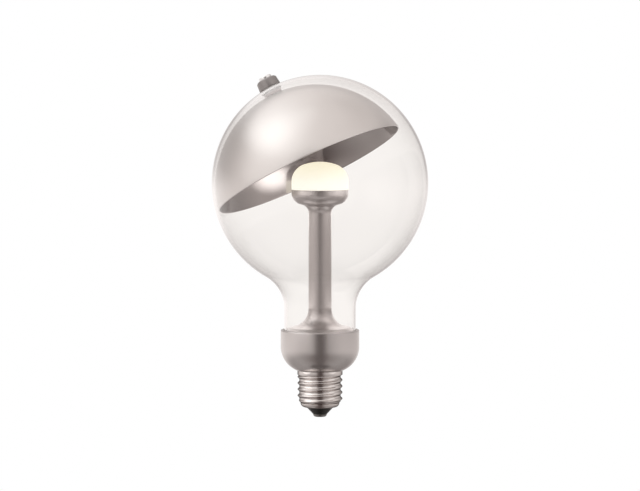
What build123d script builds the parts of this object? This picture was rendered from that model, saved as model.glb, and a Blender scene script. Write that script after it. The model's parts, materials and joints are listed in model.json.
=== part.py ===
from build123d import *
import os
from math import asin, atan2, ceil, degrees, sqrt

# A clear globe lamp with an LED head on a tall stem, and a mirror dome inside the glass.
# A magnet knob outside the glass holds the dome and slides it round the light.
# Millimetres and degrees. The origin is the tip of the centre contact, +Z runs up the lamp axis,
# and the dome leans towards -X.

# Glass globe and its neck
globe_diameter = 125.0
glass_wall = 1.1
neck_diameter = 41.5
neck_flare = 21.5            # outside radius where the globe runs into the neck
neck_exposed = 12.2          # straight neck above the collar rim
neck_depth = 8.0             # straight neck below the collar rim

# Collar between the glass and the screw cap
collar_diameter = 45.5
collar_height = 23.6
collar_round = 14.9          # radius of the bowl under the straight wall
collar_foot_diameter = 27.0
collar_wall = 1.6
collar_rim_chamfer = 0.4
seal_gap = 0.35              # cement between the neck and the collar
seal_setback = 0.6           # cement stays this far under the rim
shelf_thickness = 1.6        # shelf that carries the neck and the stem
shelf_opening = 31.0

# Screw cap
shell_height = 21.3          # turned-in lip to the collar
skirt_diameter = 26.2        # plain band above the thread
skirt_height = 2.4
skirt_taper = 0.6
thread_diameter = 26.1
thread_root_diameter = 24.0
thread_pitch = 25.4 / 7
thread_base_width = 2.4
thread_tip_width = 0.7
thread_mark = 4.54           # height above the lip where the crest crosses +X
thread_runout_height = 1.2   # height over which the lowest turn rises out of the shell
groove_depth = 0.7           # groove between the thread and the lip, under the thread's root
groove_rise = 0.9
lip_radius = 2.4
lip_opening = 19.0
shell_wall = 0.5
spigot_fit = 0.1             # collar spigot in the shell
spigot_wall = 1.4
spigot_length = 13.0

# Insulator and centre contact
insulator_height = 4.2       # contact to the lip
insulator_brow_diameter = 15.4
insulator_brow_drop = 0.4
insulator_inset = 2.0        # insulator above the groove, inside the shell
contact_height = 1.5
contact_diameter = 8.2
contact_tip_diameter = 6.4
contact_chamfer = 0.6
contact_shank_diameter = 3.0
contact_shank_proud = 0.6

# Stem: flared foot, column and bowl-shaped head in one piece
column_diameter = 13.3
column_bore = 8.0
foot_clearance = 0.25        # foot inside the glass neck
foot_rise = 1.4              # middle of the foot above the collar rim
foot_slope = 0.7             # fall from the middle to the edge
foot_fillet = 11.0
foot_wall = 2.2
head_diameter = 32.9
head_below_centre = 3.6      # joint line of the head under the globe centre
head_round = 6.6
head_straight = 2.1
head_fillet = 5.2
head_rim = 1.2
recess_depth = 3.4

# Diffuser
diffuser_straight = 4.5      # upright wall above the joint line
diffuser_shoulder = 10.5     # radius from the wall over to the crown
diffuser_crown = 29.0        # radius of the flatter top
diffuser_wall = 1.2
diffuser_spigot = 1.9
diffuser_fit = 0.1

# LED board
led_board_thickness = 1.2
led_board_fit = 0.25
led_count = 12
led_circle_diameter = 19.0
led_length = 3.5
led_width = 2.8
led_thickness = 0.8
lead_hole = 7.2
screw_count = 2
screw_circle_diameter = 11.2
screw_diameter = 2.0
screw_head_diameter = 3.6
screw_head_height = 1.3
screw_head_chamfer = 0.5
screw_length = 5.0
screw_fit = 0.05

# Driver board, a T whose shoulders stand on the collar floor
driver_thickness = 1.0
driver_height = 26.0
driver_tongue = 16.0
driver_edge_fit = 0.4
capacitor_clearance = 0.8    # capacitor inside the spigot
capacitor_length = 11.5
capacitor_drop = 13.0        # foot of the capacitor below the shoulders
capacitor_bead = 0.5         # depth of the crimp near the foot
capacitor_bead_rise = 1.5
choke_diameter = 9.0
choke_height = 8.0
choke_flange = 1.2
choke_waist = 4.6
choke_winding_diameter = 8.2
choke_rise = 5.4             # choke axis above the shoulders
rectifier_width = 4.7
rectifier_height = 3.9
rectifier_thickness = 2.4
rectifier_offset = 4.0
rectifier_drop = 5.0
fuse_diameter = 3.0
fuse_length = 8.0
fuse_cap = 1.3
fuse_cap_proud = 0.3
fuse_offset = -4.0
fuse_drop = 12.0
chip_width = 4.9
chip_height = 3.9
chip_thickness = 1.5
chip_leg = 0.4
chip_leg_reach = 1.05
chip_leg_pitch = 1.27
chip_legs = 4
chip_offset = -6.6
chip_rise = 5.0

# Leads
lead_diameter = 1.2
lead_spacing = 3.2
lead_overlap = 5.0           # length soldered along the driver board
lead_pad_reach = 3.6         # from the hole centre line to the pad on the LED board
lead_bend = 1.5
mains_diameter = 0.8
mains_overlap = 2.5
mains_offset = 6.5           # shell lead from the middle of the board
mains_bend = 0.9
mains_grip = 3.0             # shell lead pinched between the spigot and the shell
mains_fit = 0.05

# Mirror dome and its magnet
dome_gap = 3.1               # glass to dome at the magnet
dome_droop_clearance = 0.5   # rim to glass on the side where the dome hangs down
dome_wall = 0.7
dome_rim_height = 9.7        # rim plane above the centre of the dome's sphere
knob_tilt = 29.5             # magnet axis from the vertical, towards -X
running_gap = 0.25           # pads to glass
pad_thickness = 0.5
holder_diameter = 12.0       # at the glass
holder_foot_diameter = 9.6   # on the dome
holder_pad_inset = 0.5
holder_spigot_diameter = 3.2
holder_head_diameter = 5.6
holder_head_thickness = 0.8
inner_magnet_diameter = 7.0
inner_magnet_thickness = 1.4

# Knob outside the glass
knob_diameter = 13.2         # at the glass
knob_top_diameter = 12.2
knob_height = 5.2
knob_chamfer = 0.7
knob_pad_inset = 0.4
outer_magnet_diameter = 8.0
outer_magnet_thickness = 2.2
magnet_fit = 0.05            # magnets in their pockets
button_diameter = 7.8
button_height = 1.9
button_chamfer = 0.4
button_shank_diameter = 2.6
button_shank_length = 1.3

# Levels up the lamp axis
lip_z = contact_height + insulator_height
cap_top_z = lip_z + shell_height
rim_z = cap_top_z + collar_height
shelf_z = rim_z - neck_depth
flare_z = rim_z + neck_exposed

# Radii that several pieces share
groove_diameter = thread_root_diameter - 2 * groove_depth
globe_r = globe_diameter / 2
globe_inner_r = globe_r - glass_wall
neck_r = neck_diameter / 2
neck_inner_r = neck_r - glass_wall
socket_r = neck_r + seal_gap
collar_r = collar_diameter / 2
bore_r = groove_diameter / 2 - shell_wall
spigot_r = bore_r - spigot_fit
spigot_bore_r = spigot_r - spigot_wall
capacitor_diameter = spigot_bore_r - driver_thickness / 2 - capacitor_clearance
column_r = column_diameter / 2
head_r = head_diameter / 2
recess_r = head_r - head_rim

# The globe centre follows from the neck and the flare that joins them
flare_r = neck_r + neck_flare
flare_rise = sqrt((globe_r + neck_flare) ** 2 - flare_r**2)
centre_z = flare_z + flare_rise
joint_z = centre_z - head_below_centre
recess_z = joint_z - recess_depth

# Collar bowl
bowl_r = collar_r - collar_round
bowl_z = cap_top_z + sqrt(collar_round**2 - (collar_foot_diameter / 2 - bowl_r) ** 2)
floor_z = cap_top_z + collar_wall
floor_r = bowl_r + sqrt((collar_round - collar_wall) ** 2 - (bowl_z - floor_z) ** 2)

# Screw shell lip
lip_centre_r = groove_diameter / 2 - lip_radius
lip_top_z = lip_z + sqrt(lip_radius**2 - (lip_opening / 2 - lip_centre_r) ** 2)
insulator_top_z = lip_top_z + insulator_inset
skirt_z = cap_top_z - skirt_height

# The dome hangs from its magnet and leans over until its rim nearly meets the glass
dome_r = globe_inner_r - dome_gap
dome_shift = dome_gap - dome_droop_clearance
dome_droop = 2 * degrees(asin(dome_shift / (2 * globe_inner_r)))
standing = (Align.CENTER, Align.CENTER, Align.MIN)
magnet_frame = Pos(0, 0, centre_z) * Rot(0, -knob_tilt, 0)
dome_frame = magnet_frame * Pos(0, 0, globe_inner_r) * Rot(0, dome_droop, 0) * Pos(0, 0, -globe_inner_r)


def lathe(outline):
    """Solid turned about the Z axis from a closed outline of radius and height."""
    return revolve(Plane.XZ * make_face(outline), Axis.Z)


def band(inner_r, outer_r, low_z, high_z):
    """Rectangular section between two radii and two heights."""
    width = outer_r - inner_r
    height = high_z - low_z
    return Pos(inner_r, low_z) * Rectangle(width, height, align=(Align.MIN, Align.MIN))


def turned(section):
    """Solid turned about the Z axis from a section of radius and height."""
    return revolve(Plane.XZ * section, Axis.Z)


def ball(radius):
    """Ball with its poles on the X axis, clear of the faces that it shapes."""
    return Rot(0, 90, 0) * Sphere(radius)


def dished_disc(inner_radius, outer_radius, reach):
    """Disc on the Z axis whose faces follow two balls round the origin."""
    return extrude(Circle(reach), amount=outer_radius) & ball(outer_radius) - ball(inner_radius)


def disc(diameter, height, chamfer_width=0):
    """Round disc standing on the origin, with an optional chamfer round its top."""
    blank = extrude(Circle(diameter / 2), amount=height)
    return chamfer(blank.edges().group_by(Axis.Z)[-1], chamfer_width) if chamfer_width else blank


def sphere_section(radius):
    """Upper quarter disc, the section of a half ball."""
    arc = CenterArc((0, 0), radius, 0, 90)
    return make_face(Polyline(arc @ 1, (0, 0), arc @ 0) + arc)


def wire(points, diameter, bend):
    """Round wire along straight runs with one bend radius."""
    path = FilletPolyline(*points, radius=bend) if len(points) > 2 else Line(*points)
    return sweep(Plane(path @ 0, z_dir=path % 0) * Circle(diameter / 2), path)


def glass_wall_line(offset):
    """Globe, flare and neck in section, the given depth inside the outer surface."""
    turn = degrees(atan2(flare_rise, flare_r))
    globe = CenterArc((0, centre_z), globe_r - offset, 90, -90 - turn)
    flare = CenterArc((flare_r, flare_z), neck_flare + offset, 180 - turn, turn)
    return globe + flare + Line(flare @ 1, (neck_r - offset, shelf_z))


def glass_globe():
    """Blown globe with an open neck that stands on the collar shelf."""
    outer = glass_wall_line(0)
    inner = glass_wall_line(glass_wall)
    pole = Line((0, centre_z + globe_r), (0, centre_z + globe_inner_r))
    lip = Line((neck_r, shelf_z), (neck_inner_r, shelf_z))
    return lathe(outer + lip + inner + pole)


def shell_lead_place():
    """Middle of the shell lead where it lies in its slot against the shell."""
    y = driver_thickness / 2 + mains_diameter / 2
    return sqrt((bore_r - mains_diameter / 2 - mains_fit) ** 2 - y**2), y


def base_collar():
    """Moulded cup that takes the neck and the stem above, and the screw shell on a spigot below."""
    drop = degrees(asin((bowl_z - cap_top_z) / collar_round))
    bowl = CenterArc((bowl_r, bowl_z), collar_round, 0, -drop)
    spigot_z = cap_top_z - spigot_length
    foot = Polyline(bowl @ 1, (spigot_r, cap_top_z), (spigot_r, spigot_z), (0, spigot_z), (0, rim_z))
    wall = Polyline((0, rim_z), (collar_r, rim_z), bowl @ 0)
    outside = make_face(bowl + foot + wall)
    rim = outside.vertices().group_by(Axis.Y)[-1].sort_by(Axis.X)[-1]
    outside = chamfer(rim, collar_rim_chamfer)
    under_z = shelf_z - shelf_thickness
    hollow_r = collar_r - collar_wall
    cone = Polyline((0, floor_z), (floor_r, floor_z), (hollow_r, under_z), (0, under_z), close=True)
    inside = make_face(cone) + band(0, shelf_opening / 2, under_z, shelf_z)
    socket = band(0, socket_r, shelf_z, rim_z)
    bore = band(0, spigot_bore_r, spigot_z, floor_z)
    cup = turned(outside - inside - socket - bore)
    x, y = shell_lead_place()
    slot = Circle(mains_diameter / 2 + mains_fit)
    slot = make_hull(slot.edges() + (Pos(mains_diameter, 0) * slot).edges())
    return cup - Pos(x, y, spigot_z) * extrude(slot, amount=mains_grip + mains_fit)


def neck_seal():
    """Cement ring between the glass neck and the collar."""
    return turned(band(neck_r, socket_r, shelf_z, rim_z - seal_setback))


def thread_turn():
    """One turn of the right-hand thread ridge, its crest crossing +X at height zero."""
    path = Helix(thread_pitch, thread_pitch, thread_root_diameter / 2)
    depth = (thread_diameter - thread_root_diameter) / 2
    sunk = shell_wall / 2
    tip = thread_tip_width / 2
    foot = thread_base_width / 2
    foot += (foot - tip) / depth * sunk
    ridge = Polyline((-sunk, -foot), (depth, -tip), (depth, tip), (-sunk, foot), close=True)
    section = Plane(path @ 0, x_dir=(1, 0, 0), z_dir=path % 0) * make_face(ridge)
    return sweep(section, path, is_frenet=True)


def thread_room():
    """Space that the thread may fill, with a cone at the bottom where it rises out of the shell."""
    root_r = thread_root_diameter / 2
    low_z = lip_top_z + groove_rise
    slope = (thread_diameter - thread_root_diameter) / 2 / thread_runout_height
    reach = skirt_diameter
    high_z = low_z + (reach - root_r) / slope
    outline = Polyline((0, low_z), (root_r, low_z), (reach, high_z), (0, high_z), close=True)
    return lathe(outline)


def screw_shell():
    """Screw shell with a plain skirt, a coarse thread, a groove and a turned-in lip."""
    root_r = thread_root_diameter / 2
    skirt_r = skirt_diameter / 2
    lip_r = lip_opening / 2
    reach = degrees(asin((lip_top_z - lip_z) / lip_radius))
    lip = CenterArc((lip_centre_r, lip_top_z), lip_radius, 0, -reach)
    outline = Polyline(
        lip @ 1, (lip_r, lip_z + shell_wall), (bore_r, lip_top_z), (bore_r, cap_top_z),
        (skirt_r, cap_top_z), (skirt_r, skirt_z), (root_r, skirt_z - skirt_taper),
        (root_r, lip_top_z + groove_rise), lip @ 0,
    )
    shell = lathe(lip + outline)
    turn = thread_turn()
    room = thread_room()
    first_z = lip_z + thread_mark - thread_pitch
    for number in range(ceil((skirt_z - first_z) / thread_pitch)):
        shell += Pos(0, 0, first_z + number * thread_pitch) * turn & room
    return shell


def cap_insulator():
    """Dark insulator that closes the shell and carries the centre contact."""
    lip_r = lip_opening / 2
    hole_r = contact_shank_diameter / 2
    outline = Polyline(
        (hole_r, contact_height), (contact_diameter / 2, contact_height),
        (insulator_brow_diameter / 2, lip_z - insulator_brow_drop), (lip_r, lip_z),
        (lip_r, lip_z + shell_wall), (bore_r, lip_top_z), (bore_r, insulator_top_z),
        (hole_r, insulator_top_z), close=True,
    )
    return lathe(outline)


def centre_contact():
    """Contact button with a shank riveted through the insulator."""
    tip_r = contact_tip_diameter / 2
    shank_r = contact_shank_diameter / 2
    shank_z = insulator_top_z + contact_shank_proud
    outline = Polyline(
        (0, 0), (tip_r, 0), (tip_r + contact_chamfer, contact_chamfer),
        (contact_diameter / 2, contact_height), (shank_r, contact_height),
        (shank_r, shank_z), (0, shank_z), close=True,
    )
    return lathe(outline)


def screw_places():
    """Places of the board screws round the lead hole."""
    return PolarLocations(screw_circle_diameter / 2, screw_count, start_angle=90)


def stem_column():
    """Turned stem: skirted foot on the collar shelf, column, and bowl-shaped head with a recess."""
    foot_r = neck_inner_r - foot_clearance
    foot_z = rim_z + foot_rise
    edge_z = foot_z - foot_slope
    bore = column_bore / 2
    foot_arc = CenterArc((column_r + foot_fillet, foot_z + foot_fillet), foot_fillet, 270, -90)
    round_r = head_r - head_round
    round_z = joint_z - head_straight
    neck_c = column_r + head_fillet
    neck_z = round_z - sqrt((head_round + head_fillet) ** 2 - (neck_c - round_r) ** 2)
    lean = degrees(atan2(round_z - neck_z, neck_c - round_r))
    head_arc = CenterArc((round_r, round_z), head_round, -lean, lean)
    neck_arc = CenterArc((neck_c, neck_z), head_fillet, 180, -lean)
    ceiling_z = edge_z - foot_wall
    under = Polyline(
        (foot_r, edge_z), (foot_r, shelf_z), (foot_r - foot_wall, shelf_z),
        (foot_r - foot_wall, ceiling_z), (bore, ceiling_z), (bore, recess_z), (recess_r, recess_z),
        (recess_r, joint_z), (head_r, joint_z), head_arc @ 1,
    )
    slope = Line((foot_r, edge_z), foot_arc @ 0)
    column = Line(foot_arc @ 1, neck_arc @ 0)
    body = lathe(under + slope + foot_arc + column + neck_arc + head_arc)
    depth = screw_length + screw_fit
    hole = extrude(Circle(screw_diameter / 2 + screw_fit), amount=-depth)
    return body - [Pos(0, 0, recess_z) * place * hole for place in screw_places()]


def diffuser_line(inset):
    """Diffuser wall, shoulder and crown in section, the given depth inside the outer surface."""
    shoulder_r = head_r - diffuser_shoulder
    shoulder_z = joint_z + diffuser_straight
    crown_drop = sqrt((diffuser_crown - diffuser_shoulder) ** 2 - shoulder_r**2)
    turn = degrees(atan2(crown_drop, shoulder_r))
    shoulder = CenterArc((shoulder_r, shoulder_z), diffuser_shoulder - inset, 0, turn)
    crown = CenterArc((0, shoulder_z - crown_drop), diffuser_crown - inset, turn, 90 - turn)
    return shoulder + crown


def light_diffuser():
    """Opal cap with an even wall and a spigot that snaps into the head's rim."""
    inset = head_rim + diffuser_fit + diffuser_wall
    outer = diffuser_line(0)
    inner = diffuser_line(inset)
    spigot_r = recess_r - diffuser_fit
    spigot_z = joint_z - diffuser_spigot
    shoulder_z = joint_z + diffuser_straight
    inner_r = head_r - inset
    foot = Polyline(
        (head_r, shoulder_z), (head_r, joint_z), (spigot_r, joint_z), (spigot_r, spigot_z),
        (inner_r, spigot_z), (inner_r, shoulder_z),
    )
    tops = [max(line.vertices(), key=lambda corner: corner.Y) for line in (outer, inner)]
    return lathe(outer + foot + inner + Line(*tops))


def led_board():
    """Round metal-core board with a lead hole and screw holes."""
    radius = recess_r - diffuser_fit - diffuser_wall - led_board_fit
    plate = Circle(radius) - Circle(lead_hole / 2)
    plate -= [place * Circle(screw_diameter / 2 + screw_fit) for place in screw_places()]
    return Pos(0, 0, recess_z) * extrude(plate, amount=led_board_thickness)


def led_chips():
    """Ring of LED packages on the board."""
    chip = extrude(Rectangle(led_length, led_width), amount=led_thickness)
    top = Pos(0, 0, recess_z + led_board_thickness)
    return Compound([top * place * chip for place in PolarLocations(led_circle_diameter / 2, led_count)])


def board_screws():
    """Pan-head screws that clamp the LED board to the head."""
    head = disc(screw_head_diameter, screw_head_height, screw_head_chamfer)
    screw = head + disc(screw_diameter, -screw_length)
    top = Pos(0, 0, recess_z + led_board_thickness)
    return Compound([top * place * screw for place in screw_places()])


def led_leads():
    """Pair of leads from the driver board up the column to the LED board."""
    low_z = floor_z + driver_height - driver_tongue - lead_overlap
    high_z = recess_z + led_board_thickness + lead_diameter / 2
    y = driver_thickness / 2 + lead_diameter / 2
    pair = []
    for side in (-1, 1):
        x = side * lead_spacing / 2
        route = [(x, y, low_z), (x, y, high_z), (x + side * lead_pad_reach, y, high_z)]
        pair.append(wire(route, lead_diameter, lead_bend))
    return Compound(pair)


def driver_board():
    """T-shaped board with its tongue down the spigot and its shoulders on the collar floor."""
    tongue = 2 * (spigot_bore_r - driver_edge_fit)
    head = 2 * (floor_r - driver_edge_fit)
    lower = Rectangle(tongue, driver_tongue, align=(Align.CENTER, Align.MAX))
    upper = Rectangle(head, driver_height - driver_tongue, align=(Align.CENTER, Align.MIN))
    plate = extrude(Plane.XZ * (lower + upper), amount=driver_thickness / 2, both=True)
    return Pos(0, 0, floor_z) * plate


def bulk_capacitor():
    """Can capacitor lying along the tongue, with the crimp bead near its foot."""
    radius = capacitor_diameter / 2
    crimp = [(radius, capacitor_bead_rise + side * capacitor_bead) for side in (-1, 1)]
    outline = Polyline(
        (0, 0), (radius, 0), crimp[0], (radius - capacitor_bead, capacitor_bead_rise), crimp[1],
        (radius, capacitor_length), (0, capacitor_length), close=True,
    )
    can = lathe(outline)
    return Pos(0, driver_thickness / 2 + radius, floor_z - capacitor_drop) * can


def choke_frame():
    """Frame of the choke: on the back of the board, its axis pointing away from it."""
    return Pos(0, -driver_thickness / 2, floor_z + choke_rise) * Rot(90, 0, 0)


def choke_core():
    """Ferrite drum core of the choke."""
    flange = choke_diameter / 2
    section = band(0, flange, 0, choke_height)
    section -= band(choke_waist / 2, flange, choke_flange, choke_height - choke_flange)
    return choke_frame() * turned(section)


def choke_winding():
    """Copper winding on the drum core."""
    outer_r = choke_winding_diameter / 2
    section = band(choke_waist / 2, outer_r, choke_flange, choke_height - choke_flange)
    return choke_frame() * turned(section)


def bridge_rectifier():
    """Moulded bridge rectifier on the back of the tongue."""
    hung = (Align.CENTER, Align.MAX, Align.MAX)
    body = Box(rectifier_width, rectifier_thickness, rectifier_height, align=hung)
    return Pos(rectifier_offset, -driver_thickness / 2, floor_z - rectifier_drop) * body


def fuse_resistor():
    """Fusible resistor with end caps, along the back of the tongue."""
    body = extrude(Circle(fuse_diameter / 2), amount=fuse_length)
    cap = extrude(Circle(fuse_diameter / 2 + fuse_cap_proud), amount=fuse_cap)
    resistor = body + cap + Pos(0, 0, fuse_length - fuse_cap) * cap
    y = -driver_thickness / 2 - fuse_diameter / 2 - fuse_cap_proud
    return Pos(fuse_offset, y, floor_z - fuse_drop) * resistor


def driver_chip():
    """Eight-legged driver chip on the front of the board."""
    flat = (Align.CENTER, Align.MIN, Align.CENTER)
    body = Box(chip_height, chip_thickness, chip_width, align=flat)
    leg = Box(chip_height + 2 * chip_leg_reach, chip_leg, chip_leg, align=flat)
    first_z = -chip_leg_pitch * (chip_legs - 1) / 2
    legs = [Pos(0, 0, first_z + row * chip_leg_pitch) * leg for row in range(chip_legs)]
    return Pos(chip_offset, driver_thickness / 2, floor_z + chip_rise) * (body + legs)


def mains_leads():
    """Lead to the centre contact, and lead pinched between the spigot and the shell."""
    tongue_z = floor_z - driver_tongue
    y = driver_thickness / 2 + mains_diameter / 2
    contact_top_z = insulator_top_z + contact_shank_proud
    contact_route = [(0, y, contact_top_z), (0, y, tongue_z + mains_overlap)]
    shell_x, shell_y = shell_lead_place()
    spigot_z = cap_top_z - spigot_length
    turn_z = spigot_z - mains_diameter
    shell_route = [
        (mains_offset, y, tongue_z + mains_overlap), (mains_offset, y, turn_z),
        (shell_x, shell_y, turn_z), (shell_x, shell_y, spigot_z + mains_grip),
    ]
    return Compound([wire(route, mains_diameter, mains_bend) for route in (contact_route, shell_route)])


def reflector_dome():
    """Thin mirror dome, a spherical cap with a hole at its crown for the magnet holder."""
    wall = sphere_section(dome_r) - sphere_section(dome_r - dome_wall)
    cap = wall - band(0, dome_r, 0, dome_rim_height) - band(0, holder_spigot_diameter / 2, 0, dome_r)
    return dome_frame * turned(cap)


def pocket_floor():
    """Distance from the globe centre to the floor of the holder's pocket."""
    edge_r = globe_inner_r - running_gap - pad_thickness
    return sqrt(edge_r**2 - (inner_magnet_diameter / 2) ** 2) - inner_magnet_thickness


def magnet_holder():
    """Cup on the crown of the dome, staked through it, with a pocket for the magnet."""
    top_r = globe_inner_r - running_gap - pad_thickness
    stake_r = dome_r - dome_wall
    cone = Cone(holder_foot_diameter / 2, holder_diameter / 2, globe_inner_r - stake_r, align=standing)
    cup = Pos(0, 0, stake_r) * cone & ball(top_r)
    pocket = disc(inner_magnet_diameter + 2 * magnet_fit, dome_gap)
    cup = magnet_frame * (cup - Pos(0, 0, pocket_floor()) * pocket)
    head = dished_disc(stake_r - holder_head_thickness, stake_r, holder_head_diameter / 2)
    low = stake_r - holder_head_thickness / 2
    high = (dome_r + pocket_floor()) / 2
    spigot = Pos(0, 0, low) * disc(holder_spigot_diameter, high - low)
    return cup - dome_frame * ball(dome_r) + dome_frame * (spigot + head)


def reflector_magnet():
    """Disc magnet in the holder."""
    return magnet_frame * Pos(0, 0, pocket_floor()) * disc(inner_magnet_diameter, inner_magnet_thickness)


def reflector_pad():
    """Felt pad between the holder and the inside of the glass."""
    outer = globe_inner_r - running_gap
    reach = holder_diameter / 2 - holder_pad_inset
    return magnet_frame * dished_disc(outer - pad_thickness, outer, reach)


def knob_foot_r():
    """Distance from the globe centre to the underside of the knob."""
    return globe_r + running_gap + pad_thickness


def knob_body():
    """Round knob with a hollowed underside, a magnet pocket and a hole for the button."""
    foot = knob_foot_r()
    top = foot + knob_height
    taper = (knob_diameter - knob_top_diameter) / 2
    cone = Cone(knob_diameter / 2 + taper, knob_top_diameter / 2, 2 * knob_height, align=standing)
    cone = chamfer(cone.edges().group_by(Axis.Z)[-1], knob_chamfer)
    blank = Pos(0, 0, foot - knob_height) * cone - ball(foot)
    pocket = disc(outer_magnet_diameter + 2 * magnet_fit, foot + outer_magnet_thickness)
    hole = disc(button_shank_diameter, top)
    return magnet_frame * (blank - pocket - hole)


def knob_button():
    """Bright button on top of the knob, with a shank into it."""
    top = knob_foot_r() + knob_height
    head = disc(button_diameter, button_height, button_chamfer)
    return magnet_frame * Pos(0, 0, top) * (head + disc(button_shank_diameter, -button_shank_length))


def knob_magnet():
    """Disc magnet inside the knob."""
    return magnet_frame * Pos(0, 0, knob_foot_r()) * disc(outer_magnet_diameter, outer_magnet_thickness)


def knob_pad():
    """Felt pad between the knob and the outside of the glass."""
    inner = globe_r + running_gap
    return magnet_frame * dished_disc(inner, inner + pad_thickness, knob_diameter / 2 - knob_pad_inset)


pieces = [
    glass_globe, base_collar, neck_seal, screw_shell, cap_insulator, centre_contact, stem_column,
    light_diffuser, led_board, led_chips, board_screws, led_leads, driver_board, bulk_capacitor,
    choke_core, choke_winding, bridge_rectifier, fuse_resistor, driver_chip, mains_leads,
    reflector_dome, magnet_holder, reflector_magnet, reflector_pad,
    knob_body, knob_button, knob_magnet, knob_pad,
]

os.makedirs("parts", exist_ok=True)
for piece in pieces:
    export_step(piece(), f"parts/{piece.__name__}.step")
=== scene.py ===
"""Looks of a clear globe lamp with a lit opal head and a mirror dome that a magnet knob slides round it.

Sizes are in millimetres, in the frame of the part's own solids: the origin is the tip of the centre contact,
+Z runs up the lamp axis, and the dome leans towards -X. The studio's distances are in metres.
"""
from __future__ import annotations

import json
import logging
import math
from dataclasses import dataclass, replace
from enum import Enum
from typing import Callable, Optional, Sequence

import bmesh
import bpy
from mathutils import Matrix, Vector

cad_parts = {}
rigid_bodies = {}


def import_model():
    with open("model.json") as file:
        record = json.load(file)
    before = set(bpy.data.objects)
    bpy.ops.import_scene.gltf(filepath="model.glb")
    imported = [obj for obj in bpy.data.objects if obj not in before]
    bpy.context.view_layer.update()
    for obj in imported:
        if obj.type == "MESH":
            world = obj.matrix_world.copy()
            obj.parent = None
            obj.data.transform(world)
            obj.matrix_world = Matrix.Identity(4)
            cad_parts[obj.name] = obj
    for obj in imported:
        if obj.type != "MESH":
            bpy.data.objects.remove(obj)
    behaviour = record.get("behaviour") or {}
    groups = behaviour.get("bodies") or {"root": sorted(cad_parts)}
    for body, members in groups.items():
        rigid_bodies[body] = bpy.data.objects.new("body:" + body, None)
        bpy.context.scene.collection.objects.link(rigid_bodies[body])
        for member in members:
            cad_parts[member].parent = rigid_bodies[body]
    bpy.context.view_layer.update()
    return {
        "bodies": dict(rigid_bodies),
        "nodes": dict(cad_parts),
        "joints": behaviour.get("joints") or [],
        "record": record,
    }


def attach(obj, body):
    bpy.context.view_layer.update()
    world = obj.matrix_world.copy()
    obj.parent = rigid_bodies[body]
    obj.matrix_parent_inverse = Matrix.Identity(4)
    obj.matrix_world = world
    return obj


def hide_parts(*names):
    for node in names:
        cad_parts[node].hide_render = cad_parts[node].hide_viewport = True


MM = 0.001
POLE = 1e-6                  # a radius under this is on the axis
ROUNDING_SHARE = 0.48        # most of a run that the rounding of one corner may take up
WAVE_SCALE = 0.314           # scale at which the bands of a Wave texture lie 1 apart

Point = tuple[float, float]
Corner = tuple[float, ...]   # radius, height and, where the corner is rounded, its rounding
Colour = tuple[float, float, float]
Warp = Callable[[float, float, float], float]
Piece = bpy.types.Object
Socket = bpy.types.NodeSocket
Outputs = bpy.types.NodeOutputs

WHITE: Colour = (1.0, 1.0, 1.0)
BLACK: Colour = (0.0, 0.0, 0.0)
DUST: Colour = (0.62, 0.6, 0.57)
LOG = logging.getLogger("globe_lamp")


class Body(Enum):
    """Bodies that the pieces ride on."""

    BULB = "bulb"
    REFLECTOR = "reflector"
    KNOB = "knob"


class Pattern(Enum):
    """Marks that a finish can carry. Bands are named by the axis that runs across them."""

    PLAIN = "plain"
    TRACKED = "tracked"
    STRIPED = "X"
    WOUND = "Y"
    BANDED = "Z"


class Edge(float, Enum):
    """How far the edges of the pieces are rounded."""

    HAIR = 0.05
    CRISP = 0.1
    BROKEN = 0.15
    FINE = 0.2
    EASED = 0.25
    WORN = 0.3
    FULL = 0.35
    SOFT = 0.4
    ROUND = 0.5


# Sections and turned meshes


def arc(centre: Point, radius: float, start: float, end: float, count: int) -> list[Corner]:
    """Points along an arc in a section, both ends included.

    Args:
        centre: Radius and height of the arc's centre.
        radius: Radius of the arc.
        start: Angle of the first point, in degrees from the outward direction.
        end: Angle of the last point, in degrees.
        count: Number of points.

    Returns:
        Corners with no rounding of their own.
    """
    points = []
    for number in range(count):
        angle = math.radians(start + (end - start) * number / (count - 1))
        points.append((centre[0] + radius * math.cos(angle), centre[1] + radius * math.sin(angle)))
    return points


def rounded(corners: Sequence[Corner], steps: int = 6) -> list[Point]:
    """Closed section with its corners rounded.

    Args:
        corners: Corners in order round the section.
        steps: Runs along each rounded corner.

    Returns:
        Points of the section.
    """
    points: list[Point] = []
    for number, corner in enumerate(corners):
        r, z = corner[:2]
        here = Vector((r, z))
        if len(corner) == 2 or r < POLE:
            points.append((r, z))
            continue
        before = Vector(corners[number - 1][:2]) - here
        after = Vector(corners[(number + 1) % len(corners)][:2]) - here
        reach = corner[2] / math.tan(before.angle(after) / 2)
        reach = min(reach, ROUNDING_SHARE * before.length, ROUNDING_SHARE * after.length)
        first = here + before.normalized() * reach
        last = here + after.normalized() * reach
        for step in range(steps + 1):
            t = step / steps
            spot = first * (1 - t) ** 2 + here * (2 * t * (1 - t)) + last * t**2
            points.append((spot.x, spot.y))
    return points


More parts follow.
